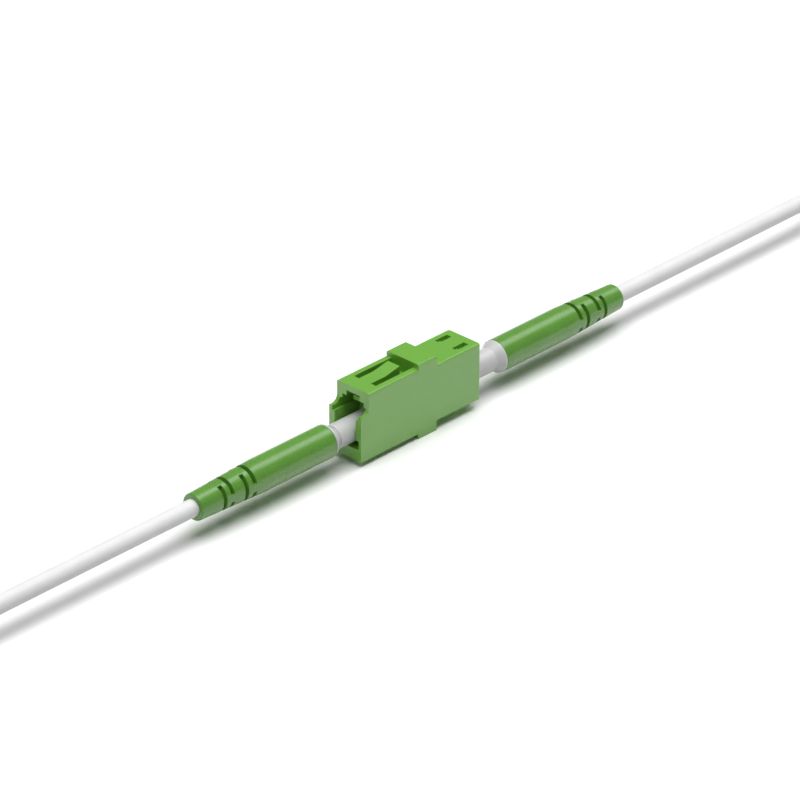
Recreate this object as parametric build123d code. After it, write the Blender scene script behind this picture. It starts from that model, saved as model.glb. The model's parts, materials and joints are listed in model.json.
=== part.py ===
from build123d import *
from math import cos, pi, radians, sin, tan
import os

# A fibre optic adapter with two mated plugs and their patch cords, in millimetres.
# X runs along the optical axis, Y across, Z up from the surface that the flange rests on.
# The solids are drawn with the optical axis at z = 0 and lifted by AXIS_HEIGHT when they are written.
# The origin is under the flange's centre. A plug is drawn on the +X side, its tip at the origin's end.

# Adapter body
AXIS_HEIGHT = 5.45        # optical axis above the flange's underside
BODY_WIDTH = 7.2          # the flange is flush with both halves
FLANGE_THICK = 4.3
FLANGE_RISE = 8.3         # flange top above the axis
FRONT_REACH = 15.5        # flange centre to the mouth's lower lip
LIP_SETBACK = 1.85        # the mouth's upper face stands this far behind the lip
LIP_TOP = 3.7             # lip height above the axis
LIP_CURVE = 1.25          # height of the hollow curve above the lip
LIP_SAG = 0.42            # how deep the hollow curve is
FRONT_RISE = 7.45
FRONT_DROP = 4.5
REAR_REACH = 12.65
REAR_RISE = 6.65
REAR_DROP = 3.65
EDGE_ROUND = 0.3          # moulded edges along the body
CORNER_ROUND = 0.5        # upright corners of the rear half
ROOT_ROUND = 0.6          # where the rear half's top meets the flange

# Port, the same in both halves
PORT_GAP = 0.15           # plug housing to channel wall, each side
SHELF_HEIGHT = 2.9        # top of the guide rails above the axis
SHELF_DEPTH = 0.5
SHELF_TOP = 4.6
ROOF_HEIGHT = 5.35
NOTCH_WIDTH = 3.0
FRONT_NOTCH_TOP = 6.3
REAR_NOTCH_TOP = 5.8
RELIEF_DEPTH = 0.65       # pockets beside the channel floor
RELIEF_TOP = -0.75
PORT_STOP = 3.1           # where the wide port ends, from the flange's centre

# Latch windows, through the roof on both sides of the middle
WINDOW_END = 10.9
WINDOW_START = 8.05
WINDOW_INNER = 1.4
WINDOW_OUTER = 2.43
KEEPER_REACH = 9.75       # the lug's shoulder bears on the keeper here
KEEPER_THICK = 0.5

# Panel tongue
TONGUE_END = 4.2
TONGUE_RAMP_START = 7.5
TONGUE_RAMP_RISE = 0.62
TONGUE_THICK = 1.1
TONGUE_SIDE_GAP = 0.08
TONGUE_GAP_DROP = 0.5     # the gap at the tongue's end goes this far below the notch's top

# Sleeve and its two holders
PLATE_THICK = 0.75
PLATE_HALF_WIDTH = 2.95
PLATE_RISE = 3.9
PLATE_DROP = 3.0
SEAT_GAP = 0.05
HOLDER_RADIUS = 1.4
HOLDER_BORE = 0.9
HOLDER_REACH = 3.75
HOLDER_LIP = 0.35
HOLDER_LIP_BORE = 0.72
HOLDER_CHAMFER = 0.15
SLEEVE_RADIUS = 0.82
SLEEVE_BORE = 0.645
SLEEVE_SLOT = 0.25
SLEEVE_END_GAP = 0.05

# Plug: distances along the axis are from the adapter's middle outwards
PLUG_SIDE = 4.5
PLUG_FRONT = 0.85
PLUG_REAR = 9.9
PLUG_CHAMFER = 0.3
PLUG_SKIN = 0.1           # the snap lugs stay this far inside the housing's faces
BRIDGE_MARGIN = 0.5       # the bridge under the latch's root is wider than the lever by this
NOSE_BORE = 1.65
NOSE_DEPTH = 3.55
BULKHEAD_THICK = 0.5
BULKHEAD_BORE = 0.8
CHAMBER_RADIUS = 1.4
REAR_BORE = 1.75
REAR_BORE_DEPTH = 2.4
SNAP_WINDOW_LONG = 1.1
SNAP_WINDOW_HIGH = 1.4
SNAP_WINDOW_EDGE = 0.8    # plug housing left behind the snap window

# Latch lever
HINGE_REACH = 4.05
HINGE_RISE = 2.75
LEVER_HALF_WIDTH = 1.25
LEVER_THICK = 0.8
LEVER_RISE = 4.25         # underside of the lever's level part
LEVER_LEVEL_START = 7.2
LEVER_END = 12.3
LEVER_BEND = 0.3          # the top bends this far ahead of the underside
LEVER_GAP = 0.02          # between the lever's root and its bridge
BAR_START = 7.4
LUG_START = 8.0
LUG_CREST = 8.45
LUG_SHOULDER = 9.45
LUG_LEAN = 0.25           # the shoulder leans forward, so that it clears the keeper as it drops
LUG_TOP = 6.2
LUG_SIDE_GAP = 0.12

# Ferrule, hub, spring and fibre
FERRULE_RADIUS = 0.625
TIP_GAP = 0.05            # each tip stands this far from the adapter's middle
TIP_ANGLE = 8.0
FERRULE_LENGTH = 5.9
HUB_RADIUS = 1.2
HUB_LENGTH = 2.2
HUB_GAP = 0.1
HUB_BORE_GAP = 0.01
HUB_CHAMFER = 0.2
FERRULE_TRAVEL = 0.5      # back against the spring
FIBRE_CLEARANCE = 0.1     # left behind the ferrule at the end of its travel
SPRING_WIRE = 0.3
SPRING_RADIUS = 0.97      # to the middle of the wire
SPRING_TURNS = 5
SPRING_SEAT_GAP = 0.02
BUFFER_RADIUS = 0.45
BUFFER_BORE_GAP = 0.1

# Plug's rear body, crimp sleeve and boot
BARREL_RADIUS = 2.13
SPIGOT_GAP = 0.05
SPIGOT_LENGTH = 2.3
SPRING_SEAT = 11.4
FIBRE_BORE = 0.65
COLLAR_START = 18.4
COLLAR_ROOT = 1.95        # the cone starts below the barrel, so that the barrel's end shows
COLLAR_RIM = 0.25         # width of the rim against the boot
COLLAR_RADIUS = 2.85
BOOT_START = 20.05
BOOT_LENGTH = 29.6
BOOT_RADIUS = 2.88
BOOT_TAPER_START = 36.0
BOOT_TIP_RADIUS = 2.32
BOOT_TIP_ROUND = 0.25
BOOT_MOUTH_ROUND = 0.2
NECK_RADIUS = 1.7
NECK_LENGTH = 5.0
NECK_GROOVES = 4
NECK_GROOVE_DEPTH = 0.12
NECK_GROOVE_SHARE = 0.5   # groove width in the pitch of the grooves
CRIMP_WALL = 0.2
CRIMP_GAP = 0.03
CRIMP_TAIL = 4.2
BOOT_FIT_GAP = 0.05
SLOT_WIDTH = 0.8
SLOT_FLOOR = 1.8          # radius left under the flex slots
SIDE_SLOTS = (40.25, 44.85)
SIDE_SLOT_SPREAD = 134.0  # degrees
TOP_SLOTS = (38.5, 43.2)
TOP_SLOT_SPREAD = 150.0   # degrees

# Cord
CORD_RADIUS = 1.5
ARC_SHARE = 0.45          # of the shorter run beside a corner
LEAD_POINTS = ((102.0, 0, 0), (107.6, 1.9, -1.8), (113.2, 3.9, -3.45))
JOIN_HEADING = 28.0       # degrees from the axis, where the lead runs into the outer turn
JOIN_LENGTH = 9.3         # straight stub before that place
HANK_NEAR = 118.0
HANK_FAR = 172.0
HANK_INNER = 9.0          # middle of the inner turns, from the hank's centre line
HANK_LAYERS = 3
HANK_CHAMFER = 1.0
TAIL_CORNERS = 6          # of the bend round the far loop
TIE_THICK = 0.5
TIE_WIDTH = 8.0

# Far plug and its dust cap
CAP_GAP = 0.1
CAP_REACH = 5.8
CAP_RADIUS = 2.1
CAP_WALL = 0.9
CAP_NOSE_GAP = 0.15
CAP_FERRULE_GAP = 0.05
CAP_PLUG_LENGTH = 3.2
CAP_ROUND = 0.4

PAST = 1.0                # how far a cut runs past the material
BITE = 0.01               # how far joined shapes run into each other

HALF_WIDTH = BODY_WIDTH / 2
FLANGE_HALF = FLANGE_THICK / 2
CHANNEL_HALF = PLUG_SIDE / 2 + PORT_GAP
BOOT_END = BOOT_START + BOOT_LENGTH
CORD_WIDTH = 2 * CORD_RADIUS

# The hank: turns two wide, lying on the tie that goes round them
HANK_OUTER = HANK_INNER + CORD_WIDTH
HANK_EDGE = HANK_OUTER + CORD_RADIUS
LOOP_NEAR = HANK_NEAR + HANK_EDGE
LOOP_FAR = HANK_FAR - HANK_EDGE
HANK_TOP = TIE_THICK + HANK_LAYERS * CORD_WIDTH
FIRST_LAYER = TIE_THICK + CORD_RADIUS
RUN_MIDDLE = (HANK_INNER + HANK_OUTER) / 2
TAIL_HEIGHT = HANK_TOP + TIE_THICK + CORD_RADIUS
FAR_AXIS_HEIGHT = HANK_TOP + TIE_THICK + BOOT_RADIUS
FAR_SHIFT = (LOOP_FAR - BOOT_END, -RUN_MIDDLE, FAR_AXIS_HEIGHT - AXIS_HEIGHT)


def slab(x, y, z):
    """A block between two values on each axis."""
    middle = [(a + b) / 2 for a, b in (x, y, z)]
    return Pos(*middle) * Box(x[1] - x[0], y[1] - y[0], z[1] - z[0])


def rod(x0, x1, radius):
    """A round bar along the axis, from x0 to x1."""
    bar = Cylinder(radius, x1 - x0, align=(Align.CENTER, Align.CENTER, Align.MIN))
    return Pos(x0, 0, 0) * Rot(0, 90, 0) * bar


def turned(points):
    """A solid of revolution about the axis, from its outline as distance along and radius."""
    return revolve(make_face(Plane.XZ * Polyline(*points, close=True)), Axis.X)


def across(points, half_width):
    """A side outline, as distance along and height, given a width on both sides of the middle."""
    outline = make_face(Plane.XZ * Polyline(*points, close=True))
    return extrude(outline, half_width, both=True)


def one(shape):
    """The single solid that a cut or a join leaves."""
    return shape.solids().sort_by(SortBy.VOLUME)[-1]


def write(node, shape, mirrored=False):
    """Lift the solid to its height, turn it for the front side if asked, and write it."""
    placed = Pos(0, 0, AXIS_HEIGHT) * shape
    if mirrored:
        placed = Rot(0, 0, 180) * placed
    os.makedirs("parts", exist_ok=True)
    export_step(placed, f"parts/{node}.step")


# The port's section, seen along the axis: a square channel with guide rails, a latch chamber above
# them, a notch in the roof and a pocket on each side of the floor.
def port_section(notch_top):
    floor = -CHANNEL_HALF
    rail = CHANNEL_HALF
    half = [
        (rail + RELIEF_DEPTH, floor),
        (rail + RELIEF_DEPTH, RELIEF_TOP),
        (rail, RELIEF_TOP),
        (rail, SHELF_HEIGHT),
        (rail + SHELF_DEPTH, SHELF_HEIGHT),
        (rail + SHELF_DEPTH, SHELF_TOP),
        (rail, SHELF_TOP),
        (rail, ROOF_HEIGHT),
        (NOTCH_WIDTH / 2, ROOF_HEIGHT),
        (NOTCH_WIDTH / 2, notch_top),
    ]
    other = [(-y, z) for y, z in reversed(half)]
    return make_face(Plane.YZ * Polyline(*half, *other, close=True))


def port(x0, x1, notch_top):
    return Pos(x0, 0, 0) * extrude(port_section(notch_top), x1 - x0)


def plug_channel(x0, x1):
    """The square part of the channel, which goes on to the sleeve holder's plate."""
    return slab((x0, x1), (-CHANNEL_HALF, CHANNEL_HALF), (-CHANNEL_HALF, CHANNEL_HALF))


def latch_windows(x0, x1, z0, z1):
    """Both openings beside the middle of the roof."""
    near = slab((x0, x1), (-WINDOW_OUTER, -WINDOW_INNER), (z0, z1))
    return near + mirror(near, Plane.XZ)


def front_housing():
    lip, upper = -FRONT_REACH, LIP_SETBACK - FRONT_REACH
    curve_top = LIP_TOP + LIP_CURVE
    middle = ((lip + upper) / 2 + LIP_SAG, (LIP_TOP + curve_top) / 2 - LIP_SAG)
    outline = (
        Line((lip, -FRONT_DROP), (lip, LIP_TOP))
        + ThreePointArc((lip, LIP_TOP), middle, (upper, curve_top))
        + Polyline(
            (upper, curve_top),
            (upper, FRONT_RISE),
            (-FLANGE_HALF, FRONT_RISE),
            (-FLANGE_HALF, FLANGE_RISE),
            (FLANGE_HALF, FLANGE_RISE),
            (FLANGE_HALF, -AXIS_HEIGHT),
            (-FLANGE_HALF, -AXIS_HEIGHT),
            (-FLANGE_HALF, -FRONT_DROP),
            (lip, -FRONT_DROP),
        )
    )
    body = one(extrude(make_face(Plane.XZ * outline), HALF_WIDTH, both=True))
    long_edges = body.edges().filter_by(Axis.X).filter_by(lambda e: e.center().Z > FRONT_RISE - BITE)
    body = fillet(long_edges, EDGE_ROUND)

    body -= port(lip - PAST, -PORT_STOP, FRONT_NOTCH_TOP)
    body -= plug_channel(-PORT_STOP - PAST, 0)
    seat_half = PLATE_HALF_WIDTH + SEAT_GAP
    seat_height = (-PLATE_DROP - SEAT_GAP, PLATE_RISE + SEAT_GAP)
    body -= slab((-PLATE_THICK, FLANGE_HALF + PAST), (-seat_half, seat_half), seat_height)

    # The slots beside the tongue are also the latch windows, and the keepers stand in their outer ends.
    body -= latch_windows(-KEEPER_REACH, -PORT_STOP, 0, FLANGE_RISE)
    body -= latch_windows(-WINDOW_END, -FLANGE_HALF, ROOF_HEIGHT + KEEPER_THICK, FLANGE_RISE)
    # The tongue is cut free of the roof down to the notch, and the gap at its end goes deeper.
    window_span = (-WINDOW_OUTER, WINDOW_OUTER)
    body -= slab((-WINDOW_END, -FLANGE_HALF), window_span, (FRONT_NOTCH_TOP - BITE, FLANGE_RISE))
    body -= slab((-TONGUE_END, -FLANGE_HALF), window_span, (FRONT_NOTCH_TOP - TONGUE_GAP_DROP, FLANGE_RISE))
    return one(body)


def rear_housing():
    body = slab((FLANGE_HALF, REAR_REACH), (-HALF_WIDTH, HALF_WIDTH), (-REAR_DROP, REAR_RISE))
    uprights = body.edges().filter_by(Axis.Z).filter_by(lambda e: e.center().X > REAR_REACH - BITE)
    body = fillet(uprights, CORNER_ROUND)
    rims = body.edges().filter_by(
        lambda e: e.center().Z > REAR_RISE - BITE and e.center().X > FLANGE_HALF + BITE
    )
    body = one(fillet(rims, EDGE_ROUND))

    # A moulded root where the top meets the flange's rear face
    low, high = REAR_RISE - EDGE_ROUND, REAR_RISE + ROOT_ROUND
    inner, outer = FLANGE_HALF, FLANGE_HALF + ROOT_ROUND
    sag = ROOT_ROUND * (1 - cos(pi / 4))
    root = (
        Line((inner, low), (inner, high))
        + ThreePointArc((inner, high), (inner + sag, REAR_RISE + sag), (outer, REAR_RISE))
        + Polyline((outer, REAR_RISE), (outer, low), (inner, low))
    )
    body += extrude(make_face(Plane.XZ * root), HALF_WIDTH - EDGE_ROUND, both=True)

    # A spigot enters the flange and holds the sleeve holders' plates.
    spigot_span = (-PLATE_HALF_WIDTH, PLATE_HALF_WIDTH)
    body += slab((PLATE_THICK, FLANGE_HALF), spigot_span, (-PLATE_DROP, PLATE_RISE))

    body -= port(PORT_STOP, REAR_REACH + PAST, REAR_NOTCH_TOP)
    body -= plug_channel(0, PORT_STOP + PAST)
    body -= latch_windows(WINDOW_START, KEEPER_REACH, 0, FLANGE_RISE)
    body -= latch_windows(WINDOW_START, WINDOW_END, ROOF_HEIGHT + KEEPER_THICK, FLANGE_RISE)
    return one(body)


def panel_tongue():
    """The sprung tongue in the front half's top. Its ramp holds a panel against the flange."""
    under = FRONT_RISE - TONGUE_THICK
    side = [
        (-WINDOW_END, under),
        (-WINDOW_END, FRONT_RISE),
        (-TONGUE_RAMP_START, FRONT_RISE),
        (-TONGUE_END, FRONT_RISE + TONGUE_RAMP_RISE),
        (-TONGUE_END, under),
    ]
    return across(side, WINDOW_INNER - TONGUE_SIDE_GAP)


def sleeve_holder():
    """A plate and a tube, drawn on the +X side. A lip at the tube's end keeps the sleeve in."""
    plate = slab((0, PLATE_THICK), (-PLATE_HALF_WIDTH, PLATE_HALF_WIDTH), (-PLATE_DROP, PLATE_RISE))
    body = plate + rod(0, HOLDER_REACH, HOLDER_RADIUS)
    body = chamfer(body.edges().filter_by(GeomType.CIRCLE).sort_by(Axis.X)[-1], HOLDER_CHAMFER)
    body -= rod(-PAST, HOLDER_REACH - HOLDER_LIP, HOLDER_BORE)
    body -= rod(-PAST, HOLDER_REACH + PAST, HOLDER_LIP_BORE)
    return one(body)


def split_sleeve():
    half = HOLDER_REACH - HOLDER_LIP - SLEEVE_END_GAP
    body = rod(-half, half, SLEEVE_RADIUS) - rod(-half - PAST, half + PAST, SLEEVE_BORE)
    body -= slab((-half - PAST, half + PAST), (-SLEEVE_SLOT / 2, SLEEVE_SLOT / 2), (0, SLEEVE_RADIUS + PAST))
    return one(body)


def plug_housing():
    half = PLUG_SIDE / 2
    body = slab((PLUG_FRONT, PLUG_REAR), (-half, half), (-half, half))
    body = chamfer(body.faces().sort_by(Axis.X)[0].edges(), PLUG_CHAMFER)
    wall = PLUG_FRONT + NOSE_DEPTH
    body -= rod(PLUG_FRONT - PAST, wall, NOSE_BORE)
    body -= rod(wall - PAST, wall + BULKHEAD_THICK + PAST, BULKHEAD_BORE)
    body -= rod(wall + BULKHEAD_THICK, PLUG_REAR + PAST, CHAMBER_RADIUS)
    body -= rod(PLUG_REAR - REAR_BORE_DEPTH, PLUG_REAR + PAST, REAR_BORE)
    window_end = PLUG_REAR - SNAP_WINDOW_EDGE
    high = SNAP_WINDOW_HIGH / 2
    body -= slab((window_end - SNAP_WINDOW_LONG, window_end), (-half - PAST, half + PAST), (-high, high))
    # The bridge that carries the latch lever's root
    bridge_half = LEVER_HALF_WIDTH + BRIDGE_MARGIN
    bridge = slab(
        (HINGE_REACH - LEVER_THICK, HINGE_REACH),
        (-bridge_half, bridge_half),
        (half - BITE, HINGE_RISE - LEVER_THICK / 2),
    )
    return one(body + bridge)


def latch():
    """The lever with its cross bar and two lugs, which pass through the windows."""
    slope_start = HINGE_REACH - LEVER_THICK
    base = HINGE_RISE - LEVER_THICK / 2 + LEVER_GAP
    lever_top = LEVER_RISE + LEVER_THICK
    side = [
        (slope_start, base),
        (HINGE_REACH, base),
        (LEVER_LEVEL_START, LEVER_RISE),
        (LEVER_END, LEVER_RISE),
        (LEVER_END, lever_top),
        (LEVER_LEVEL_START - LEVER_BEND, lever_top),
        (slope_start, base + LEVER_THICK),
    ]
    lever = across(side, LEVER_HALF_WIDTH)
    bar_half = WINDOW_OUTER - LUG_SIDE_GAP
    bar = slab((BAR_START, LUG_SHOULDER), (-bar_half, bar_half), (LEVER_RISE, lever_top))
    lug_side = [
        (LUG_START, lever_top - BITE),
        (LUG_CREST, LUG_TOP),
        (LUG_SHOULDER - LUG_LEAN, LUG_TOP),
        (LUG_SHOULDER, lever_top - BITE),
    ]
    lugs = across(lug_side, bar_half)
    inner = WINDOW_INNER + LUG_SIDE_GAP
    lugs -= slab((LUG_START, LUG_SHOULDER + PAST), (-inner, inner), (lever_top, LUG_TOP + PAST))
    return one(lever + bar + lugs)


def ferrule():
    """A round pin whose tip is cut at an angle about the upright axis, so that two of them meet flat."""
    body = rod(TIP_GAP, TIP_GAP + FERRULE_LENGTH, FERRULE_RADIUS)
    face = Pos(TIP_GAP + FERRULE_RADIUS * tan(radians(TIP_ANGLE)), 0, 0) * Rot(0, 0, TIP_ANGLE)
    reach = FERRULE_RADIUS + PAST
    return one(body - face * slab((-reach, 0), (-reach, reach), (-reach, reach)))


def hub_start():
    return PLUG_FRONT + NOSE_DEPTH + BULKHEAD_THICK + HUB_GAP


def hub():
    start = hub_start()
    end = start + HUB_LENGTH
    body = rod(start, end, HUB_RADIUS)
    body = chamfer(body.edges().filter_by(GeomType.CIRCLE).sort_by(Axis.X)[0], HUB_CHAMFER)
    body -= rod(start - PAST, TIP_GAP + FERRULE_LENGTH, FERRULE_RADIUS + HUB_BORE_GAP)
    body -= rod(TIP_GAP + FERRULE_LENGTH - BITE, end + PAST, BUFFER_RADIUS + BUFFER_BORE_GAP)
    return one(body)


def spring():
    """The coil between the hub and the seat in the rear body."""
    end_gap = SPRING_WIRE / 2 + SPRING_SEAT_GAP
    start = hub_start() + HUB_LENGTH + end_gap
    end = SPRING_SEAT - end_gap
    pitch = (end - start) / SPRING_TURNS
    path = Helix(pitch, end - start, SPRING_RADIUS)
    section = Plane(origin=path @ 0, z_dir=path % 0) * Circle(SPRING_WIRE / 2)
    coil = sweep(section, path=path, is_frenet=True)
    return Pos(start, 0, 0) * Rot(0, 90, 0) * coil


def rear_body():
    """Spigot, barrel, collar and the grooved neck that the crimp sleeve grips."""
    spigot = REAR_BORE - SPIGOT_GAP
    neck_end = BOOT_START + NECK_LENGTH
    body = turned(
        [
            (PLUG_REAR - SPIGOT_LENGTH, 0),
            (PLUG_REAR - SPIGOT_LENGTH, spigot),
            (PLUG_REAR, spigot),
            (PLUG_REAR, BARREL_RADIUS),
            (COLLAR_START, BARREL_RADIUS),
            (COLLAR_START, COLLAR_ROOT),
            (BOOT_START - COLLAR_RIM, COLLAR_RADIUS),
            (BOOT_START, COLLAR_RADIUS),
            (BOOT_START, NECK_RADIUS),
            (neck_end, NECK_RADIUS),
            (neck_end, 0),
        ]
    )
    groove_pitch = NECK_LENGTH / (NECK_GROOVES + 1)
    groove_half = NECK_GROOVE_SHARE * groove_pitch / 2
    for step in range(1, NECK_GROOVES + 1):
        middle = BOOT_START + step * groove_pitch
        ring = rod(middle - groove_half, middle + groove_half, NECK_RADIUS + PAST)
        ring -= rod(middle - groove_pitch, middle + groove_pitch, NECK_RADIUS - NECK_GROOVE_DEPTH)
        body -= ring
    # Snap lugs that fill the housing's side windows
    window_end = PLUG_REAR - SNAP_WINDOW_EDGE
    high = SNAP_WINDOW_HIGH / 2 - SPIGOT_GAP
    lug_reach = PLUG_SIDE / 2 - PLUG_SKIN
    lug_start = window_end - SNAP_WINDOW_LONG + SPIGOT_GAP
    body += slab((lug_start, window_end - SPIGOT_GAP), (-lug_reach, lug_reach), (-high, high))
    body -= rod(PLUG_REAR - SPIGOT_LENGTH - PAST, SPRING_SEAT, SPRING_RADIUS + SPRING_WIRE)
    body -= rod(SPRING_SEAT - PAST, neck_end + PAST, FIBRE_BORE)
    return one(body)


def buffered_fibre():
    """The coated fibre behind the ferrule, which leaves the ferrule room for its travel."""
    start = TIP_GAP + FERRULE_LENGTH + FERRULE_TRAVEL + FIBRE_CLEARANCE
    return rod(start, BOOT_START + NECK_LENGTH, BUFFER_RADIUS)


def crimp_sleeve():
    """A stepped metal tube: the wide end grips the neck, the narrow end the cord's jacket."""
    neck_end = BOOT_START + NECK_LENGTH
    wide, narrow = NECK_RADIUS + CRIMP_GAP, CORD_RADIUS + CRIMP_GAP
    tail = neck_end + CRIMP_TAIL
    return turned(
        [
            (BOOT_START + CRIMP_WALL, wide),
            (BOOT_START + CRIMP_WALL, wide + CRIMP_WALL),
            (neck_end + CRIMP_WALL, wide + CRIMP_WALL),
            (neck_end + 2 * CRIMP_WALL, narrow + CRIMP_WALL),
            (tail, narrow + CRIMP_WALL),
            (tail, narrow),
            (neck_end + CRIMP_WALL, narrow),
            (neck_end + CRIMP_WALL / 2, wide),
        ]
    )


def flex_slot(middle, turn, spread):
    """A groove round part of the boot, centred on the direction that turn gives."""
    top = BOOT_RADIUS + PAST
    section = Plane.XZ * Pos(middle, (SLOT_FLOOR + top) / 2) * Rectangle(SLOT_WIDTH, top - SLOT_FLOOR)
    ring = revolve(section, Axis.X, spread)
    return Rot(turn - spread / 2, 0, 0) * ring


def boot():
    crimp_end = BOOT_START + NECK_LENGTH + CRIMP_TAIL + CRIMP_WALL
    wide = NECK_RADIUS + CRIMP_GAP + CRIMP_WALL + BOOT_FIT_GAP
    narrow = CORD_RADIUS + BOOT_FIT_GAP
    body = turned(
        [
            (BOOT_START, wide),
            (BOOT_START, BOOT_RADIUS),
            (BOOT_TAPER_START, BOOT_RADIUS),
            (BOOT_END, BOOT_TIP_RADIUS),
            (BOOT_END, narrow),
            (crimp_end, narrow),
            (crimp_end, wide),
        ]
    )
    tip = body.edges().filter_by(GeomType.CIRCLE).filter_by(lambda e: abs(e.radius - BOOT_TIP_RADIUS) < BITE)
    body = fillet(tip, BOOT_TIP_ROUND)
    mouth = body.edges().filter_by(GeomType.CIRCLE).filter_by(
        lambda e: abs(e.radius - BOOT_RADIUS) < BITE and abs(e.center().X - BOOT_START) < BITE
    )
    body = fillet(mouth, BOOT_MOUTH_ROUND)
    for middle in SIDE_SLOTS:
        body -= flex_slot(middle, 90, SIDE_SLOT_SPREAD) + flex_slot(middle, -90, SIDE_SLOT_SPREAD)
    for middle in TOP_SLOTS:
        body -= flex_slot(middle, 0, TOP_SLOT_SPREAD) + flex_slot(middle, 180, TOP_SLOT_SPREAD)
    return one(body)


def arc_radii(points):
    """The largest arc for each corner: a share of the shorter run over the tangent of half the turn."""
    radii = []
    for a, b, c in zip(points, points[1:], points[2:]):
        before, after = Vector(*b) - Vector(*a), Vector(*c) - Vector(*b)
        half_turn = radians(before.get_angle(after) / 2)
        radii.append(ARC_SHARE * min(before.length, after.length) / tan(half_turn))
    return radii


def cord_tube(points):
    radii = arc_radii(points)
    path = FilletPolyline(*points, radius=radii)
    section = Plane(origin=path @ 0, z_dir=path % 0) * Circle(CORD_RADIUS)
    tube = sweep(section, path=path)
    share = tube.volume / (pi * CORD_RADIUS**2 * path.length)
    print("cord radii", [round(r, 1) for r in radii])
    print("cord length", round(path.length, 1), "volume share", round(share, 4))
    return tube


def join_start():
    """Where the lead ends and the hank's stub starts, tangent to the outer turn."""
    heading = radians(JOIN_HEADING)
    along, aside = cos(heading), sin(heading)
    return (
        LOOP_NEAR - HANK_OUTER * aside - JOIN_LENGTH * along,
        HANK_OUTER * along - JOIN_LENGTH * aside,
        FIRST_LAYER - AXIS_HEIGHT,
    )


def lead():
    """The cord from the crimp sleeve to the hank: straight, then down and across to the outer turn."""
    return cord_tube([(BOOT_START + NECK_LENGTH, 0, 0), *LEAD_POINTS, join_start()])


def oval(half_width, z0, z1):
    """A block with round ends, whose ends turn about the two loops' centres."""
    base = slab((LOOP_NEAR, LOOP_FAR), (-half_width, half_width), (z0, z1))
    for centre in (LOOP_NEAR, LOOP_FAR):
        base += Pos(centre, 0, (z0 + z1) / 2) * Cylinder(half_width, z1 - z0)
    return base


def hank():
    """The closed outer shape of the wound turns, with the stub where the lead joins its outer run."""
    z0, z1 = TIE_THICK - AXIS_HEIGHT, HANK_TOP - AXIS_HEIGHT
    ring = one(oval(HANK_EDGE, z0, z1) - oval(HANK_INNER - CORD_RADIUS, z0 - PAST, z1 + PAST))
    level_edges = ring.edges().filter_by(lambda e: min(abs(e.center().Z - z1), abs(e.center().Z - z0)) < BITE)
    ring = chamfer(level_edges, HANK_CHAMFER)
    stub = Pos(*join_start()) * Rot(0, 0, JOIN_HEADING) * rod(0, JOIN_LENGTH, CORD_RADIUS)
    return one(ring + stub)


def tail():
    """The last run on top of the hank, and the bend that brings it into the far plug's boot."""
    high = TAIL_HEIGHT - AXIS_HEIGHT
    rise = FAR_AXIS_HEIGHT - TAIL_HEIGHT
    step = pi / TAIL_CORNERS
    reach = RUN_MIDDLE / cos(step / 2)
    points = [(LOOP_NEAR, RUN_MIDDLE, high)]
    for corner in range(TAIL_CORNERS):
        angle = step * (corner + 0.5)
        share = corner / (TAIL_CORNERS - 1)
        points.append((LOOP_FAR + reach * sin(angle), reach * cos(angle), high + rise * share))
    points.append((FAR_SHIFT[0] + BOOT_START + NECK_LENGTH, -RUN_MIDDLE, high + rise))
    return cord_tube(points)


def tie():
    """A strap round both runs of the hank."""
    middle = (LOOP_NEAR + LOOP_FAR) / 2
    x = (middle - TIE_WIDTH / 2, middle + TIE_WIDTH / 2)
    outer = HANK_EDGE + TIE_THICK
    low, high = -AXIS_HEIGHT, HANK_TOP + TIE_THICK - AXIS_HEIGHT
    band = slab(x, (-outer, outer), (low, high))
    inside = (low + TIE_THICK, high - TIE_THICK)
    band -= slab((x[0] - PAST, x[1] + PAST), (-HANK_EDGE, HANK_EDGE), inside)
    return one(band)


def dust_cap():
    """A closed cap over the far plug's ferrule, with a narrower end that sits in the housing's nose."""
    shoulder = PLUG_FRONT - CAP_GAP
    body = rod(shoulder - CAP_REACH, shoulder, CAP_RADIUS)
    body = fillet(body.edges().filter_by(GeomType.CIRCLE).sort_by(Axis.X)[0], CAP_ROUND)
    end = shoulder + CAP_PLUG_LENGTH
    body += rod(shoulder - BITE, end, NOSE_BORE - CAP_NOSE_GAP)
    body -= rod(shoulder - CAP_REACH + CAP_WALL, end + PAST, FERRULE_RADIUS + CAP_FERRULE_GAP)
    return one(body)


def build_plug(side, mirrored, place, prefix):
    """Write every piece of one plug. place moves it from the adapter's port."""
    for name, shape in PLUG_PIECES.items():
        write(f"{side}_{prefix}{name}", place * shape, mirrored)


PLUG_PIECES = {
    "plug_housing": plug_housing(),
    "latch": latch(),
    "ferrule": ferrule(),
    "ferrule_hub": hub(),
    "spring": spring(),
    "rear_body": rear_body(),
    "buffered_fibre": buffered_fibre(),
    "crimp_sleeve": crimp_sleeve(),
    "boot": boot(),
}

write("front_housing", front_housing())
write("rear_housing", rear_housing())
write("panel_tongue", panel_tongue())
write("split_sleeve", split_sleeve())

for side, mirrored in (("front", True), ("rear", False)):
    write(f"{side}_sleeve_holder", sleeve_holder(), mirrored)
    build_plug(side, mirrored, Pos(0, 0, 0), "")
    build_plug(side, mirrored, Pos(*FAR_SHIFT), "far_")
    write(f"{side}_far_dust_cap", Pos(*FAR_SHIFT) * dust_cap(), mirrored)
    write(f"{side}_cord_lead", lead(), mirrored)
    write(f"{side}_cord_hank", hank(), mirrored)
    write(f"{side}_cord_tail", tail(), mirrored)
    write(f"{side}_cord_tie", tie(), mirrored)
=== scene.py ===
# %% [markdown]
# # A fibre optic adapter with two mated plugs
# The imported model gives every rigid piece at its true size. This script adds what the model can't
# hold: the bent cords, the woven straps round them, coil springs, the finishes, the ground, the
# light and the camera.

# %% Load the fixed model
import json
from math import cos, pi, radians, sin

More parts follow.
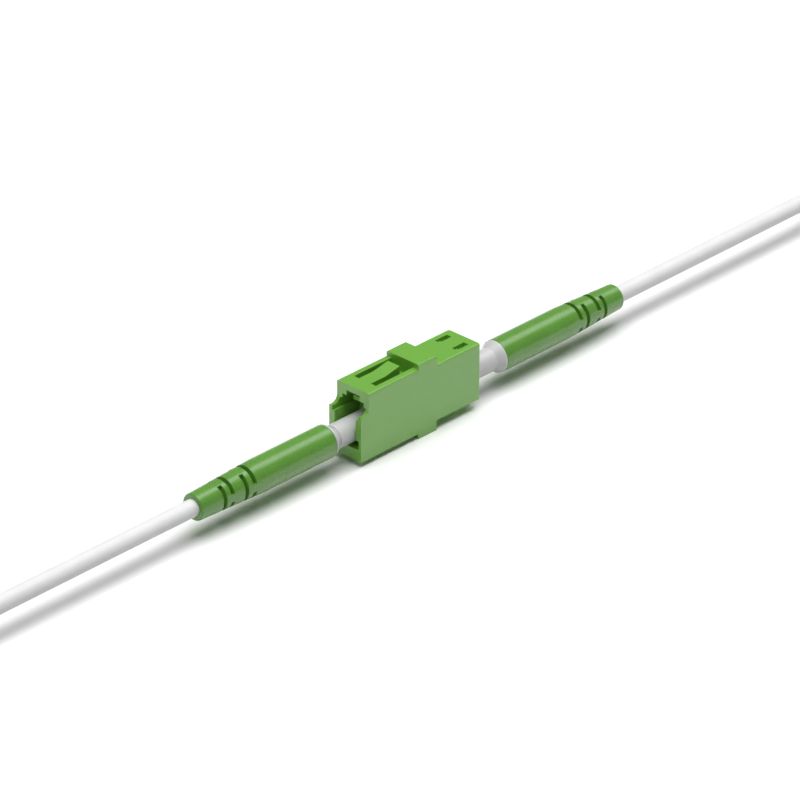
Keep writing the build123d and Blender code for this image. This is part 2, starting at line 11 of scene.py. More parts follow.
import bpy
from mathutils import Matrix, Vector


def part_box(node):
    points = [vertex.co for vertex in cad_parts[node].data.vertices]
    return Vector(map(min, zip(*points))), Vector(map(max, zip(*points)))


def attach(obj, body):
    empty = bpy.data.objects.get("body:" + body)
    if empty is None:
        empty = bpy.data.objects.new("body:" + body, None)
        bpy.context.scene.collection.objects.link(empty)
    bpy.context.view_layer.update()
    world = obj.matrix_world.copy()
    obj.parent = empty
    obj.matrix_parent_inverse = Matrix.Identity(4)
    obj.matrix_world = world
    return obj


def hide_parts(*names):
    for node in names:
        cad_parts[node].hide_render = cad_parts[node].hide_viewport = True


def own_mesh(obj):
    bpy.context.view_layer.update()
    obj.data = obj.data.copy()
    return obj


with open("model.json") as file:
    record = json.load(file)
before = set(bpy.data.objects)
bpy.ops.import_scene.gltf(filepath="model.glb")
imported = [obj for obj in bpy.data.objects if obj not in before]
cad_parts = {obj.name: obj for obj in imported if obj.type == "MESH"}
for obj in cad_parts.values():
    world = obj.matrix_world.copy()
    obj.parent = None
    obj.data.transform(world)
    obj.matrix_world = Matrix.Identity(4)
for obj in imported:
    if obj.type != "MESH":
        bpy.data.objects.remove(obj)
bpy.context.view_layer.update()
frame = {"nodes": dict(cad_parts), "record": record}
MM = 0.001
SIDES = {"rear": 1, "front": -1}
AXIS_Z = 5.45 * MM

# %% [markdown]
# ## Camera
# A long lens from far off keeps the adapter's edges almost parallel, as in a catalogue picture. The
# camera is placed from the direction it looks in and from where the adapter's middle falls in the
# picture, because those are easy to check, and not from a list of coordinates.

# %% Camera
CAMERA_AZIMUTH = 46.24
CAMERA_ELEVATION = 28.74
CAMERA_ROLL = 0.10
CAMERA_DISTANCE = 808.96 * MM
FOCAL_PIXELS = 4958.93
PICTURE_SIDE = 800
MIDDLE_PIXEL = (411.56, 398.10)
SENSOR_WIDTH = 36
CLIP_NEAR, CLIP_FAR = 0.01, 10


def make_camera():
    """A camera that looks down its own back vector and has the adapter's middle on its pixel."""
    azimuth, elevation = radians(CAMERA_AZIMUTH), radians(CAMERA_ELEVATION)
    back = Vector((-sin(azimuth) * cos(elevation), -cos(azimuth) * cos(elevation), sin(elevation)))
    level = (-back).cross(Vector((0, 0, 1))).normalized()
    upright = level.cross(-back)
    turn = radians(CAMERA_ROLL)
    right = level * cos(turn) + upright * sin(turn)
    up = upright * cos(turn) - level * sin(turn)
    scale = CAMERA_DISTANCE / FOCAL_PIXELS
    place = Vector((0, 0, AXIS_Z)) + back * CAMERA_DISTANCE
    place -= right * (MIDDLE_PIXEL[0] - PICTURE_SIDE / 2) * scale
    place += up * (MIDDLE_PIXEL[1] - PICTURE_SIDE / 2) * scale
    data = bpy.data.cameras.new("camera")
    data.sensor_width = SENSOR_WIDTH
    data.lens = FOCAL_PIXELS * SENSOR_WIDTH / PICTURE_SIDE
    data.clip_start, data.clip_end = CLIP_NEAR, CLIP_FAR
    camera = bpy.data.objects.new("camera", data)
    camera.matrix_world = Matrix((right, up, back)).transposed().to_4x4()
    camera.location = place
    bpy.context.scene.collection.objects.link(camera)
    bpy.context.scene.camera = camera
    print("camera stands at", [round(v, 4) for v in camera.location])


make_camera()

# %% [markdown]
# ## Cords
# Each patch cord runs level out of its boot, bends down and aside, and is wound in a hank of two turns
# side by side and three high. Then its last run crosses the top and enters the far plug's boot. A
# single NURBS curve follows all of it. Only the turns are worked out, by a loop: at the near end
# every turn moves over or up into the next one's place, and the turns spread a little there, so that
# they pass each other.

# %% Route of the cord
CORD_DIAMETER = 3.0 * MM
ROUTE_START = 47.0
LEAD_POINTS = [(96.4, 0, 0), (102.0, 0, 0), (107.6, 1.9, -1.8), (113.2, 3.9, -3.45)]
LOOP_NEAR = 131.5
LOOP_FAR = 158.5
INNER, OUTER = 9.0, 12.0
RUN_MIDDLE = (INNER + OUTER) / 2
LAYERS = (2.0, 5.0, 8.0)
TAIL_Z = 11.5
PLUG_Z = 12.88
JOIN_HEADING = 28
CORNERS = 8
TAIL_CORNERS = 6
SPREAD_MIDDLE, SPREAD_OUTER = 1.4, 2.8
SHIFT_END = 0.8
RUN_END = 5.0
JOIN_RUN = 4.0
TAIL_START, TAIL_END = 4.0, 6.0
FAR_BOOT_INSIDE = 3.0
CURVE_STEPS = 6

TURNS = [
    # distance from the hank's middle line and height of each turn, in winding order
    (OUTER, LAYERS[0]), (INNER, LAYERS[0]), (INNER, LAYERS[1]),
    (OUTER, LAYERS[1]), (OUTER, LAYERS[2]), (INNER, LAYERS[2]), (RUN_MIDDLE, TAIL_Z),
]


def far_loop(radius, z):
    """Half a turn round the hank's far end, from the far side to the near side."""
    step = pi / CORNERS
    reach = radius / cos(step / 2)
    angles = [step * (n + 0.5) for n in range(CORNERS)]
    return [(LOOP_FAR + reach * sin(a), reach * cos(a), z) for a in angles]


def near_loop(start, end):
    """Half a turn back to the far side, moving from one place in the hank to the next."""
    step = pi / CORNERS
    points = []
    for n in range(CORNERS):
        angle = step * (n + 0.5)
        share = min(1.0, angle / pi / SHIFT_END)
        share = share * share * (3 - 2 * share)
        spread = sin(angle) ** 2
        if start[0] == end[0] == OUTER:
            spread *= SPREAD_OUTER
        elif start[0] != end[0]:
            spread *= SPREAD_MIDDLE
        else:
            spread = 0
        radius = start[0] + (end[0] - start[0]) * share + spread
        z = start[1] + (end[1] - start[1]) * share
        reach = radius / cos(step / 2)
        points.append((LOOP_NEAR - reach * sin(angle), -reach * cos(angle), z))
    return points


def cord_route():
    """The whole cord on the rear side, in millimetres, from inside the boot to inside the far boot."""
    low = LAYERS[0]
    points = [(ROUTE_START, 0, AXIS_Z / MM)]
    points += [(x, y, AXIS_Z / MM + z) for x, y, z in LEAD_POINTS]
    heading = radians(JOIN_HEADING)
    join = (LOOP_NEAR - OUTER * sin(heading), OUTER * cos(heading), low)
    points.append((join[0] - JOIN_RUN * cos(heading), join[1] - JOIN_RUN * sin(heading), low))
    points.append((LOOP_NEAR - OUTER * sin(heading / 2), OUTER / cos(heading / 2), low))
    for place, following in zip(TURNS, TURNS[1:]):
        radius, z = place
        points += [(LOOP_NEAR + RUN_END, radius, z), (LOOP_FAR - RUN_END, radius, z)]
        points += far_loop(radius, z)
        points += [(LOOP_FAR - RUN_END, -radius, z), (LOOP_NEAR + RUN_END, -radius, z)]
        points += near_loop(place, following)
    points += [(LOOP_NEAR + TAIL_START, RUN_MIDDLE, TAIL_Z), (LOOP_FAR - TAIL_END, RUN_MIDDLE, TAIL_Z)]
    step = pi / TAIL_CORNERS
    reach = RUN_MIDDLE / cos(step / 2)
    for corner in range(TAIL_CORNERS):
        angle = step * (corner + 0.5)
        share = corner / (TAIL_CORNERS - 1)
        z = TAIL_Z + (PLUG_Z - TAIL_Z) * share
        points.append((LOOP_FAR + reach * sin(angle), reach * cos(angle), z))
    points.append((LOOP_FAR - FAR_BOOT_INSIDE, -RUN_MIDDLE, PLUG_Z))
    return points


def make_cord(side):
    """A round NURBS curve on the route. The spline's order is set last, or it would be straight runs."""
    turn = SIDES[side]
    curve = bpy.data.curves.new(f"{side}_cord", "CURVE")
    curve.dimensions = "3D"
    curve.bevel_depth = CORD_DIAMETER / 2
    curve.bevel_resolution = CURVE_STEPS
    curve.resolution_u = CURVE_STEPS
    curve.use_fill_caps = True
    points = cord_route()
    spline = curve.splines.new("NURBS")
    spline.points.add(len(points) - 1)
    for point, (x, y, z) in zip(spline.points, points):
        point.co = (turn * x * MM, turn * y * MM, z * MM, 1)
    spline.order_u = 3
    spline.use_endpoint_u = True
    cord = bpy.data.objects.new(f"{side}_cord", curve)
    bpy.context.scene.collection.objects.link(cord)
    return cord


cords = {side: make_cord(side) for side in SIDES}
print("control points on each cord:", len(cord_route()))

# %% [markdown]
# ## Finishes
# Moulded plastic is never one flat colour: the tool's fine spark texture breaks up its gloss, and the
# colour drifts very slightly. One helper makes every plastic from its colour, its gloss and the size
# of its grain, and the pattern reads Object coordinates, so it doesn't slide when a piece moves.

# %% Helpers for the finishes
RAMP_EDGES = (0.3, 0.7)
DRIFT_SCALE = 260
DRIFT_DETAIL, GRAIN_DETAIL = 4, 2
GLOSS_SPREAD = 0.12
BUMP_STRENGTH = 0.35


def new_material(name):
    """A fresh material with its nodes, its links and its main shader."""
    material = bpy.data.materials.new(name)
    material.use_nodes = True
    nodes = material.node_tree.nodes
    return material, nodes, material.node_tree.links, nodes["Principled BSDF"]


def add_noise(nodes, links, scale, detail):
    place = nodes.new("ShaderNodeTexCoord")
    noise = nodes.new("ShaderNodeTexNoise")
    noise.inputs["Scale"].default_value = scale
    noise.inputs["Detail"].default_value = detail
    links.new(place.outputs["Object"], noise.inputs["Vector"])
    return noise


def add_ramp(nodes, links, source, low, high):
    ramp = nodes.new("ShaderNodeValToRGB")
    for element, position, colour in zip(ramp.color_ramp.elements, RAMP_EDGES, (low, high)):
        element.position = position
        element.color = colour
    links.new(source, ramp.inputs["Fac"])
    return ramp


def moulded(name, colour, roughness, grain=9000, grain_depth=0.004, drift=0.05, **sockets):
    """A moulded or drawn surface: colour that drifts, gloss that varies, and a fine grain."""
    material, nodes, links, shader = new_material(name)
    broad = add_noise(nodes, links, DRIFT_SCALE, DRIFT_DETAIL)
    light = tuple(min(1.0, c * (1 + drift)) for c in colour) + (1,)
    dark = tuple(c * (1 - drift) for c in colour) + (1,)
    tint = add_ramp(nodes, links, broad.outputs["Fac"], dark, light)
    links.new(tint.outputs["Color"], shader.inputs["Base Color"])
    fine = add_noise(nodes, links, grain, GRAIN_DETAIL)
    gloss = nodes.new("ShaderNodeMapRange")
    gloss.inputs["To Min"].default_value = roughness * (1 - GLOSS_SPREAD)
    gloss.inputs["To Max"].default_value = roughness * (1 + GLOSS_SPREAD)
    links.new(fine.outputs["Fac"], gloss.inputs["Value"])
    links.new(gloss.outputs["Result"], shader.inputs["Roughness"])
    bump = nodes.new("ShaderNodeBump")
    bump.inputs["Strength"].default_value = BUMP_STRENGTH
    bump.inputs["Distance"].default_value = grain_depth * MM
    links.new(fine.outputs["Fac"], bump.inputs["Height"])
    links.new(bump.outputs["Normal"], shader.inputs["Normal"])
    for socket, value in sockets.items():
        shader.inputs[socket.replace("_", " ")].default_value = value
    return material


# %% [markdown]
# ### Green mouldings
# The adapter is a hard, glossy plastic. The white ground mirrors in its upright faces and makes them
# paler than its tops, so the specular level is high and the colour itself stays deep. That keeps one
# colour for every face, where painting each face by hand would look wrong from another side. The boots
# are smoother, with a narrower highlight, and the plugs are a green of their own.

# %% Green finishes
HOUSING_GREEN = (0.141, 0.412, 0.027)
HOUSING_GLOSS = {"roughness": 0.38, "drift": 0.02, "Specular_IOR_Level": 1.0}
finishes = {
    "housing": moulded("green_housing", HOUSING_GREEN, **HOUSING_GLOSS),
    "tongue": moulded("green_tongue", HOUSING_GREEN, **HOUSING_GLOSS),
    "plug_green": moulded("green_plug", (0.150, 0.410, 0.040), 0.4, Specular_IOR_Level=0.8),
    "boot": moulded(
        "green_boot", (0.110, 0.307, 0.034), 0.28, grain=6000, grain_depth=0.001, Specular_IOR_Level=0.6),
}

# %% [markdown]
# ### White, clear and ceramic pieces
# The plug's body is a neutral white plastic, and the cord's jacket is duller, because it is drawn and
# not moulded. The ferrules and the split sleeve are polished ceramic, so their grain is very fine. The
# dust caps let some light through.

# %% White finishes
finishes |= {
    "plug_white": moulded("white_plug_body", (0.65, 0.65, 0.655), 0.36, drift=0.02),
    "cord": moulded("cord_jacket", (0.85, 0.85, 0.855), 0.48, grain=5000, drift=0.02),
    "holder": moulded("ivory_holder", (0.72, 0.71, 0.66), 0.5),
    "ceramic": moulded("white_ceramic", (0.86, 0.86, 0.83), 0.12, grain=20000, grain_depth=0.0005),
    "fibre": moulded("buffer_coat", (0.82, 0.82, 0.78), 0.35),
    "cap": moulded("cap_plastic", (0.80, 0.83, 0.85), 0.25, Transmission_Weight=0.35),
}

# %% [markdown]
# ### Metals and the strap's yarn
# The hub, the spring and the crimp sleeve are bare metal, which has no colour under its gloss. The
# strap is a matt black yarn with a little sheen, and its weave is real shape, not part of the finish.

# %% Metal and yarn finishes
finishes |= {
    "hub_metal": moulded("nickel_hub", (0.62, 0.58, 0.50), 0.28, Metallic=1.0),
    "spring_steel": moulded("spring_steel", (0.56, 0.57, 0.60), 0.25, Metallic=1.0),
    "crimp_metal": moulded("crimp_metal", (0.66, 0.66, 0.67), 0.35, Metallic=1.0),
    "tie": moulded("strap_weave", (0.020, 0.020, 0.022), 0.85, Sheen_Weight=0.15),
}

# %% Give each piece its finish
slot_of = {part["node"]: part["material_slot"] for part in frame["record"]["subparts"]}
for name, node in frame["nodes"].items():
    node.data.materials.clear()
    node.data.materials.append(finishes[slot_of[name]])
for cord in cords.values():
    cord.data.materials.append(finishes["cord"])
print("finishes:", len(finishes), "on", len(frame["nodes"]), "solids and", len(cords), "cords")

# %% [markdown]
# ## Woven straps
# A soft strap holds each hank together. It is a narrow plain weave: every second crossing shows a yarn
# that runs round the strap, and the ones between show a yarn that runs across it. An image of a weave
# would look flat from close by, so Geometry Nodes lay a small rounded float at every crossing, along
# any path that is handed to them. The tree works in a flat frame, with the loop in X and Y, and turns
# the strap upright at its end.

# %% Helpers for a node tree


def add_node(tree, kind, inputs=None, **settings):
    """A node with its settings, whose inputs are given as plain values or as sockets to link."""
    node = tree.nodes.new(kind)
    for setting, value in settings.items():
        setattr(node, setting, value)
    for key, value in (inputs or {}).items():
        socket = node.inputs[key]
        if isinstance(value, bpy.types.NodeSocket):
            tree.links.new(value, socket)
        else:
            socket.default_value = value
    return node


def sums(tree, operation, first, second):
    """The result of one sum on two numbers or sockets."""
    return add_node(tree, "ShaderNodeMath", {0: first, 1: second}, operation=operation).outputs[0]


def vector(tree, x, y, z):
    return add_node(tree, "ShaderNodeCombineXYZ", {0: x, 1: y, 2: z}).outputs[0]


def joined(tree, *shapes):
    join = tree.nodes.new("GeometryNodeJoinGeometry")
    for shape in shapes:
        tree.links.new(shape, join.inputs[0])
    return join.outputs[0]


def new_tree(name, sizes):
    """An empty tree with a named input for each size, and the sockets that give them."""
    tree = bpy.data.node_groups.new(name, "GeometryNodeTree")
    for title, (kind, value) in sizes.items():
        socket = tree.interface.new_socket(title, in_out="INPUT", socket_type=kind)
        if value is not None:
            socket.default_value = value
    tree.interface.new_socket("Geometry", in_out="OUTPUT", socket_type="NodeSocketGeometry")
    return tree, tree.nodes.new("NodeGroupInput").outputs


def close_tree(tree, shape, place, turn, material):
    """Real geometry in its place with its finish, as every tree here ends."""
    whole = add_node(tree, "GeometryNodeRealizeInstances", {"Geometry": shape}).outputs[0]
    placed = add_node(
        tree, "GeometryNodeTransform", {"Geometry": whole, "Translation": place, "Rotation": turn}).outputs[0]
    finished = add_node(
        tree, "GeometryNodeSetMaterial", {"Geometry": placed, "Material": material}).outputs[0]
    tree.links.new(finished, tree.nodes.new("NodeGroupOutput").inputs[0])


def apply_nodes(name, tree, values):
    """A plain mesh object made by the tree with these input values."""
    piece = bpy.data.objects.new(name, bpy.data.meshes.new(name))
    bpy.context.scene.collection.objects.link(piece)
    modifier = piece.modifiers.new("nodes", "NODES")
    modifier.node_group = tree
    for socket in tree.interface.items_tree:
        if socket.in_out == "INPUT" and socket.name in values:
            modifier[socket.identifier] = values[socket.name]
    ready = piece.evaluated_get(bpy.context.evaluated_depsgraph_get())
    mesh = bpy.data.meshes.new_from_object(ready)
    piece.modifiers.clear()
    piece.data = mesh
    mesh.name = name
    print(name, "triangles:", sum(len(p.vertices) - 2 for p in mesh.polygons))
    return piece


# %% Loop and core of the strap
CORNER_STEPS = 7
WELD_DISTANCE = 1e-6


def rounded_loop(tree, across, height, corner):
    """A closed rectangle with round corners that stands on the X axis."""
    rectangle = add_node(tree, "GeometryNodeCurvePrimitiveQuadrilateral", {"Width": across, "Height": height})
    round_off = add_node(
        tree, "GeometryNodeFilletCurve",
        {"Curve": rectangle.outputs[0], "Radius": corner, "Count": CORNER_STEPS, "Limit Radius": True},
        mode="POLY",
    )
    return round_off.outputs[0]


def solid_band(tree, outer, inner, width):
    """The strap's core: the ring between two loops, drawn out to the strap's width."""
    ring = add_node(tree, "GeometryNodeFillCurve", {"Curve": joined(tree, outer, inner)}).outputs[0]
    start = vector(tree, 0.0, 0.0, sums(tree, "MULTIPLY", width, -0.5))
    base = add_node(tree, "GeometryNodeTransform", {"Geometry": ring, "Translation": start}).outputs[0]
    drawn = add_node(
        tree, "GeometryNodeExtrudeMesh",
        {"Mesh": base, "Offset": vector(tree, 0.0, 0.0, 1.0), "Offset Scale": width, "Individual": False},
    )
    bottom = add_node(tree, "GeometryNodeFlipFaces", {"Mesh": base})
    closed = joined(tree, drawn.outputs[0], bottom.outputs[0])
    return add_node(
        tree, "GeometryNodeMergeByDistance", {"Geometry": closed, "Distance": WELD_DISTANCE}).outputs[0]


# %% Floats and edges of the strap
FLOAT_LENGTH = 1.35
FLOAT_WIDTH = 0.88
FLOAT_ROUNDNESS = 2
EDGE_SHARE = 1.2
EDGE_SIDES = 8


def woven_floats(tree, path, around, across, width, crown):
    """One float at each crossing of a plain weave that follows the path."""
    points = add_node(tree, "GeometryNodeCurveToPoints", {"Curve": path, "Count": around}, mode="COUNT")
    number = add_node(tree, "GeometryNodeInputIndex").outputs[0]
    kept = add_node(tree, "GeometryNodeCaptureAttribute", {"Geometry": points.outputs["Points"]})
    kept.capture_items.new("INT", "number")
    tree.links.new(number, kept.inputs["number"])
    rows = add_node(
        tree, "GeometryNodeDuplicateElements", {"Geometry": kept.outputs[0], "Amount": across},
        domain="POINT",
    )
    step = sums(tree, "DIVIDE", width, across)
    centred = sums(tree, "SUBTRACT", rows.outputs["Duplicate Index"], sums(tree, "DIVIDE", across, 2.0))
    sideways = sums(tree, "MULTIPLY", sums(tree, "ADD", centred, 0.5), step)
    spread = add_node(
        tree, "GeometryNodeSetPosition",
        {"Geometry": rows.outputs[0], "Offset": vector(tree, 0.0, 0.0, sideways)},
    )
    crossing = sums(tree, "ADD", kept.outputs["number"], rows.outputs["Duplicate Index"])
    over = sums(tree, "MODULO", crossing, 2.0)
    long_side = sums(tree, "MULTIPLY", step, FLOAT_LENGTH / 2)
    short_side = sums(tree, "MULTIPLY", step, FLOAT_WIDTH / 2)
    shape = add_node(tree, "GeometryNodeSwitch", {"Switch": over}, input_type="VECTOR")
    tree.links.new(vector(tree, long_side, crown, short_side), shape.inputs["False"])
    tree.links.new(vector(tree, short_side, crown, long_side), shape.inputs["True"])
    heading = add_node(
        tree, "FunctionNodeAlignRotationToVector", {"Vector": points.outputs["Tangent"]},
        axis="X", pivot_axis="Z",
    )
    float_shape = add_node(
        tree, "GeometryNodeMeshIcoSphere", {"Radius": 1.0, "Subdivisions": FLOAT_ROUNDNESS})
    placed = add_node(
        tree, "GeometryNodeInstanceOnPoints",
        {"Points": spread.outputs[0], "Instance": float_shape.outputs[0], "Rotation": heading.outputs[0],
         "Scale": shape.outputs[0]},
    )
    return placed.outputs[0]


def bound_edge(tree, path, width, radius):
    """The thick yarn that closes each edge of the strap."""
    profile = add_node(tree, "GeometryNodeCurvePrimitiveCircle", {"Resolution": EDGE_SIDES, "Radius": radius})
    tube = add_node(
        tree, "GeometryNodeCurveToMesh",
        {"Curve": path, "Profile Curve": profile.outputs[0], "Fill Caps": True},
    ).outputs[0]
    inset = sums(tree, "SUBTRACT", sums(tree, "DIVIDE", width, 2.0), radius)
    edges = []
    for side in (-1.0, 1.0):
        shift = vector(tree, 0.0, 0.0, sums(tree, "MULTIPLY", inset, side))
        edge = add_node(tree, "GeometryNodeTransform", {"Geometry": tube, "Translation": shift})
        edges.append(edge.outputs[0])
    return joined(tree, *edges)


# %% The strap's tree
STRAP_INPUTS = {
    "Width": ("NodeSocketFloat", 8.0 * MM),
    "Across": ("NodeSocketFloat", 28.0 * MM),
    "Height": ("NodeSocketFloat", 10.0 * MM),
    "Corner": ("NodeSocketFloat", 2.2 * MM),
    "Thickness": ("NodeSocketFloat", 0.5 * MM),
    "Crown": ("NodeSocketFloat", 0.15 * MM),
    "Yarns Across": ("NodeSocketInt", 11),
    "Yarns Around": ("NodeSocketInt", 100),
    "End Length": ("NodeSocketFloat", 13.0 * MM),
    "Place": ("NodeSocketVector", (0, 0, 0)),
    "Heading": ("NodeSocketFloat", 0.0),
    "Material": ("NodeSocketMaterial", None),
}


def strap_tree():
    """The whole strap: the loop round the hank, and the end that overlaps it on top."""
    tree, given = new_tree("woven_strap", STRAP_INPUTS)
    width, crown = given["Width"], given["Crown"]
    thin = sums(tree, "MULTIPLY", crown, 2.0)

    def loop(inset):
        """The strap's outline, a distance further in."""
        twice = sums(tree, "MULTIPLY", inset, 2.0)
        across = sums(tree, "SUBTRACT", given["Across"], twice)
        height = sums(tree, "SUBTRACT", given["Height"], twice)
        return rounded_loop(tree, across, height, sums(tree, "SUBTRACT", given["Corner"], inset))

    woven = loop(crown)
    core_width = sums(tree, "SUBTRACT", width, thin)
    edge_radius = sums(tree, "MULTIPLY", crown, EDGE_SHARE)
    woven_width = sums(tree, "SUBTRACT", width, sums(tree, "MULTIPLY", edge_radius, 4.0))
    parts = [
        solid_band(tree, woven, loop(given["Thickness"]), core_width),
        woven_floats(tree, woven, given["Yarns Around"], given["Yarns Across"], woven_width, crown),
        bound_edge(tree, woven, width, edge_radius),
    ]
    end_core = sums(tree, "SUBTRACT", given["Thickness"], crown)
    outside = sums(tree, "DIVIDE", given["Height"], 2.0)
    top = sums(tree, "ADD", outside, end_core)
    half_end = sums(tree, "DIVIDE", given["End Length"], 2.0)
    end_line = add_node(
        tree, "GeometryNodeCurvePrimitiveLine",
        {"Start": vector(tree, sums(tree, "MULTIPLY", half_end, -1.0), top, 0.0),
         "End": vector(tree, half_end, top, 0.0)},
    ).outputs[0]
    yarn_step = sums(tree, "DIVIDE", woven_width, given["Yarns Across"])
    end_yarns = sums(tree, "DIVIDE", given["End Length"], yarn_step)
    end_block = add_node(
        tree, "GeometryNodeMeshCube",
        {"Size": vector(tree, given["End Length"], sums(tree, "ADD", end_core, crown), core_width)},
    ).outputs[0]
    middle = sums(tree, "ADD", outside, sums(tree, "DIVIDE", sums(tree, "SUBTRACT", end_core, crown), 2.0))
    parts += [
        add_node(
            tree, "GeometryNodeTransform",
            {"Geometry": end_block, "Translation": vector(tree, 0.0, middle, 0.0)},
        ).outputs[0],
        woven_floats(tree, end_line, end_yarns, given["Yarns Across"], woven_width, crown),
        bound_edge(tree, end_line, width, edge_radius),
    ]
    upright = vector(tree, pi / 2, 0.0, sums(tree, "ADD", given["Heading"], pi / 2))
    close_tree(tree, joined(tree, *parts), given["Place"], upright, given["Material"])
    return tree


# %% Make the two straps


def make_straps():
    """One strap in the place of each plain tie."""
    tree = strap_tree()
    straps = {}
    for side, turn in SIDES.items():
        low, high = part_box(f"{side}_cord_tie")
        size, middle = high - low, (low + high) / 2
        straps[side] = apply_nodes(f"{side}_strap", tree, {
            "Width": size.x, "Across": size.y, "Height": size.z, "Place": middle,
            "Heading": 0.0 if turn > 0 else pi, "Material": finishes["tie"],
        })
    return straps


straps = make_straps()

# %% [markdown]
# ## Ferrule springs
# Inside each plug a coil spring presses the ferrule forward. The model has it as a stiff coil, which the
# hub would cut into when the ferrule is pushed back. Here it is a spiral curve with a round wire along
# it, made by a tree because a spring is nothing but a few sizes.

# %% Springs
SPRING_WIRE = 0.3 * MM
SPRING_STEPS, WIRE_SIDES = 28, 10
SPRING_INPUTS = {
    "Length": ("NodeSocketFloat", 2.0 * MM),
    "Radius": ("NodeSocketFloat", 1.0 * MM),
    "Wire": ("NodeSocketFloat", SPRING_WIRE),
    "Turns": ("NodeSocketFloat", 5.0),
    "Place": ("NodeSocketVector", (0, 0, 0)),
    "Material": ("NodeSocketMaterial", None),
}
PLUGS = ("front", "rear", "front_far", "rear_far")


def spring_tree():
    """A coil along X whose length and radius are measured over the wire."""
    tree, given = new_tree("coil_spring", SPRING_INPUTS)
    radius = sums(tree, "SUBTRACT", given["Radius"], sums(tree, "DIVIDE", given["Wire"], 2.0))
    length = sums(tree, "SUBTRACT", given["Length"], given["Wire"])
    spiral = add_node(
        tree, "GeometryNodeCurveSpiral",
        {"Resolution": SPRING_STEPS, "Rotations": given["Turns"], "Start Radius": radius,
         "End Radius": radius, "Height": length},
    )
    wire = add_node(
        tree, "GeometryNodeCurvePrimitiveCircle",
        {"Resolution": WIRE_SIDES, "Radius": sums(tree, "DIVIDE", given["Wire"], 2.0)},
    )
    coil = add_node(
        tree, "GeometryNodeCurveToMesh",
        {"Curve": spiral.outputs[0], "Profile Curve": wire.outputs[0], "Fill Caps": True},
    ).outputs[0]
    centre = vector(tree, 0.0, 0.0, sums(tree, "MULTIPLY", length, -0.5))
    centred = add_node(tree, "GeometryNodeTransform", {"Geometry": coil, "Translation": centre}).outputs[0]
    close_tree(tree, centred, given["Place"], vector(tree, 0.0, pi / 2, 0.0), given["Material"])
    return tree


def make_springs():
    """One coil in the place of each stiff one, attached to the base."""
    tree = spring_tree()
    springs = {}
    for plug in PLUGS:
        low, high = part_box(f"{plug}_spring")
        size, middle = high - low, (low + high) / 2
        spring = apply_nodes(f"{plug}_coil_spring", tree, {
            "Length": size.x, "Radius": size.z / 2, "Place": middle,
            "Material": finishes["spring_steel"],
        })
        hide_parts(f"{plug}_spring")
        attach(spring, "base")
        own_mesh(spring)
        springs[plug] = spring
    return springs


springs = make_springs()

# %% [markdown]
# ## Floor and light
# The photograph has a pure white ground and a light straight overhead, so each shadow lies right below
# its piece. The floor is an ordinary pale grey for the light that it sends back, but what looks straight
# at it, or sees it in a gloss, sees a colour above white. So the ground is white, its shadows stay, and
# the object isn't lit any harder for it. Far out, where the lamps don't reach, the ground gives that
# white itself, so a low view has a white horizon too.

# %% Floor
FLOOR_SIDE = 6.0
FLOOR_COLOUR = 0.60
FLOOR_SEEN = 1.06
FLOOR_IN_GLOSS = 1.35
FADE_START, FADE_END = 0.22, 0.50


def any_ray(nodes, links, *kinds):
    """A value of 1 for rays of these kinds, and 0 for all others."""
    rays = nodes.new("ShaderNodeLightPath")
    value = rays.outputs[kinds[0]]
    for kind in kinds[1:]:
        either = nodes.new("ShaderNodeMath")
        either.operation = "MAXIMUM"
        links.new(value, either.inputs[0])
        links.new(rays.outputs[kind], either.inputs[1])
        value = either.outputs["Value"]
    return value


def add_choice(nodes, links, fraction, low, high):
    """The low value where the fraction is 0, and the high one where it is 1."""
    choice = nodes.new("ShaderNodeMapRange")
    choice.inputs["To Min"].default_value = low
    choice.inputs["To Max"].default_value = high
    links.new(fraction, choice.inputs["Value"])
    return choice.outputs["Result"]


def far_out(nodes, links):
    """A value of 0 near the object that rises to 1 further out on the ground."""
    place = nodes.new("ShaderNodeTexCoord")
    distance = nodes.new("ShaderNodeVectorMath")
    distance.operation = "LENGTH"
    links.new(place.outputs["Object"], distance.inputs[0])
    rise = nodes.new("ShaderNodeMapRange")
    rise.interpolation_type = "SMOOTHSTEP"
    rise.inputs["From Min"].default_value = FADE_START
    rise.inputs["From Max"].default_value = FADE_END
    links.new(distance.outputs["Value"], rise.inputs["Value"])
    return rise.outputs["Result"]


def make_floor():
    """A diffuse ground, with a white glow of its own further out."""
    material, nodes, links, shader = new_material("white_floor")
    nodes.remove(shader)
    paint = nodes.new("ShaderNodeBsdfDiffuse")
    seen = any_ray(nodes, links, "Is Camera Ray", "Is Glossy Ray", "Is Transmission Ray")
    in_gloss = any_ray(nodes, links, "Is Glossy Ray")
    colour_seen = add_choice(nodes, links, in_gloss, FLOOR_SEEN, FLOOR_IN_GLOSS)
    colour = add_choice(nodes, links, seen, FLOOR_COLOUR, FLOOR_SEEN)
    links.new(colour_seen, colour.node.inputs["To Max"])
    links.new(colour, paint.inputs["Color"])
    glow = nodes.new("ShaderNodeEmission")
    strength = nodes.new("ShaderNodeMath")
    strength.operation = "MULTIPLY"
    links.new(seen, strength.inputs[0])
    links.new(far_out(nodes, links), strength.inputs[1])
    links.new(strength.outputs["Value"], glow.inputs["Strength"])
    both = nodes.new("ShaderNodeAddShader")
    links.new(paint.outputs["BSDF"], both.inputs[0])
    links.new(glow.outputs["Emission"], both.inputs[1])
    links.new(both.outputs["Shader"], nodes["Material Output"].inputs["Surface"])
    mesh = bpy.data.meshes.new("floor")
    half = FLOOR_SIDE / 2
    corners = [(-half, -half, 0), (half, -half, 0), (half, half, 0), (-half, half, 0)]
    mesh.from_pydata(corners, [], [(0, 1, 2, 3)])
    floor = bpy.data.objects.new("floor", mesh)
    floor.data.materials.append(material)
    bpy.context.scene.collection.objects.link(floor)


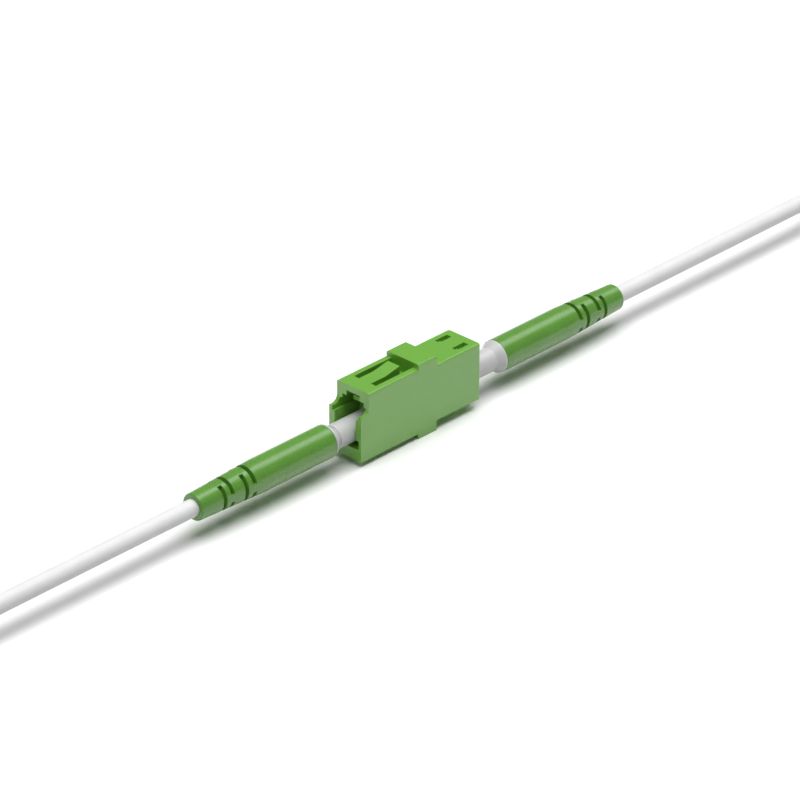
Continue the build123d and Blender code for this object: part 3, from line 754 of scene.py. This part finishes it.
make_floor()
print("floor:", FLOOR_SIDE, "m square, white from", FADE_START, "m out")

# %% [markdown]
# ### Light
# One wide round light overhead makes the soft shadow and the highlight along each boot. A smaller one
# from each end, in line with the cords, lifts the faces that look that way, and its own shadows stay
# under the boots. The sky is dim, because it would fill those shadows.

# %% Light
LIGHTS = {
    # name: place in metres, width, power
    "key": ((0.0, -0.02, 0.80), 0.84, 6.2),
    "glint": ((0.57, -0.03, 0.70), 0.48, 1.8),
    "front": ((-0.70, 0.0, 0.56), 0.50, 1.0),
}
SKY_LIGHT = 0.12
SKY_IN_GLOSS = 0.30
SKY_SEEN = 1.0


def make_area_light(name, place, width, power):
    """A round soft light that faces the adapter."""
    data = bpy.data.lights.new(name, "AREA")
    data.shape = "DISK"
    data.size = width
    data.energy = power
    light = bpy.data.objects.new(name, data)
    light.location = place
    light.rotation_euler = (-Vector(place)).to_track_quat("-Z", "Y").to_euler()
    bpy.context.scene.collection.objects.link(light)


def make_world():
    """A dim white sky that is plain white where it is looked at."""
    world = bpy.data.worlds.new("studio")
    world.use_nodes = True
    nodes, links = world.node_tree.nodes, world.node_tree.links
    background = nodes["Background"]
    background.inputs["Color"].default_value = (1, 1, 1, 1)
    in_gloss = add_choice(nodes, links, any_ray(nodes, links, "Is Glossy Ray"), SKY_LIGHT, SKY_IN_GLOSS)
    behind = any_ray(nodes, links, "Is Camera Ray", "Is Transmission Ray")
    strength = add_choice(nodes, links, behind, 0.0, SKY_SEEN)
    links.new(in_gloss, strength.node.inputs["To Min"])
    links.new(strength, background.inputs["Strength"])
    bpy.context.scene.world = world


for name, (place, width, power) in LIGHTS.items():
    make_area_light(name, place, width, power)
make_world()
bpy.context.scene.view_settings.view_transform = "Standard"
print("lights:", ", ".join(LIGHTS))

# %% [markdown]
# ## What rides on what
# The cords stand for the model's plain tubes and hanks, the straps for its plain ties.

for side, cord in cords.items():
    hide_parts(*(f"{side}_cord_{part}" for part in ("lead", "hank", "tail")))
    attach(cord, "base")
    strap = straps[side]
    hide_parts(f"{side}_cord_tie")
    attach(strap, "base")
